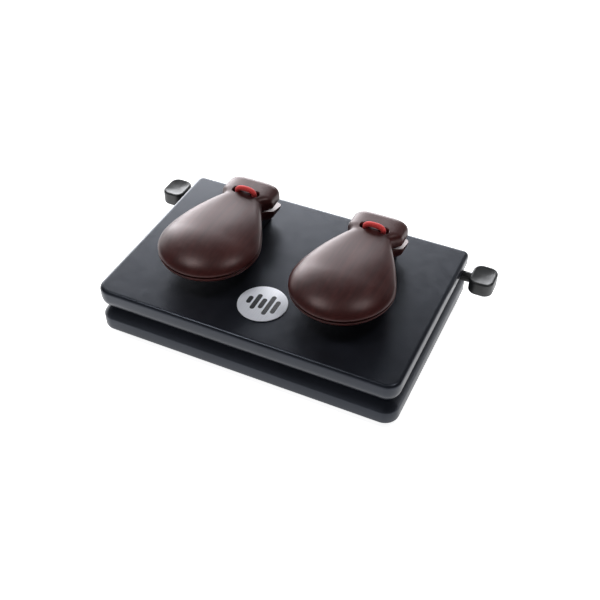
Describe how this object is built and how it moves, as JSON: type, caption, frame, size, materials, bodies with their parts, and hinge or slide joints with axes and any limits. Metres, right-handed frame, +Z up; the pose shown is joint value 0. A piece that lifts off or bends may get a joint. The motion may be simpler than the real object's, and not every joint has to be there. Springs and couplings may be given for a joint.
{
  "type": "table castanet machine",
  "caption": "Pairs of lacquered castanets on a black two-layer board; a red elastic cord ties each upper shell to a tuning peg in the board's seam.",
  "frame": {"origin": "on the surface the feet stand on, under the middle of the board", "axes": "+X along the board from the left peg to the right peg, +Y from the player towards the back, +Z up"},
  "size_m": [0.2186, 0.1204, 0.0585],
  "materials": {
    "black_paint": "black satin paint on wood",
    "brown_lacquer": "dark red-brown gloss lacquer on wood",
    "red_elastic": "braided cover of an elastic cord",
    "black_peg": "black satin",
    "brass": "turned, satin",
    "steel": "plain",
    "rubber": "matte black",
    "badge_foil": "thin printed foil, satin"
  },
  "bodies": {
    "base": {"upper_slab": "black_paint", "lower_slab": "black_paint", "badge": "badge_foil", "board_screw_1": "steel", "board_screw_2": "steel", "board_screw_3": "steel", "board_screw_4": "steel", "front_left_foot": "rubber", "front_right_foot": "rubber", "back_left_foot": "rubber", "back_right_foot": "rubber", "left_lower_shell": "brown_lacquer", "left_riser": "black_paint", "left_front_shell_screw": "steel", "left_back_shell_screw": "steel", "left_cord_leg_a": "red_elastic", "left_cord_leg_b": "red_elastic", "left_outer_bush": "brass", "left_inner_bush": "brass", "right_lower_shell": "brown_lacquer", "right_riser": "black_paint", "right_front_shell_screw": "steel", "right_back_shell_screw": "steel", "right_cord_leg_a": "red_elastic", "right_cord_leg_b": "red_elastic", "right_outer_bush": "brass", "right_inner_bush": "brass"},
    "left_castanet": {"left_upper_shell": "brown_lacquer", "left_cord_loop": "red_elastic"},
    "right_castanet": {"right_upper_shell": "brown_lacquer", "right_cord_loop": "red_elastic"},
    "left_peg": {"left_peg_shaft": "black_peg", "left_peg_button": "black_peg", "left_peg_clip": "steel", "left_cord_winding_a": "red_elastic", "left_cord_winding_b": "red_elastic"},
    "right_peg": {"right_peg_shaft": "black_peg", "right_peg_button": "black_peg", "right_peg_clip": "steel", "right_cord_winding_a": "red_elastic", "right_cord_winding_b": "red_elastic"}
  },
  "joints": [
    {"name": "left_castanet_hinge", "type": "hinge", "parent": "base", "child": "left_castanet", "pos_m": [-0.0411, 0.027, 0.0459], "axis": [-1, 0, 0], "range_deg": [0, 14]},
    {"name": "right_castanet_hinge", "type": "hinge", "parent": "base", "child": "right_castanet", "pos_m": [0.04, 0.027, 0.0459], "axis": [-1, 0, 0], "range_deg": [0, 14]},
    {"name": "left_peg_turn", "type": "hinge", "parent": "base", "child": "left_peg", "pos_m": [-0.0795, 0.0502, 0.0209], "axis": [1, 0, 0], "continuous": true},
    {"name": "right_peg_turn", "type": "hinge", "parent": "base", "child": "right_peg", "pos_m": [0.0795, 0.0502, 0.0209], "axis": [1, 0, 0], "continuous": true}
  ]
}
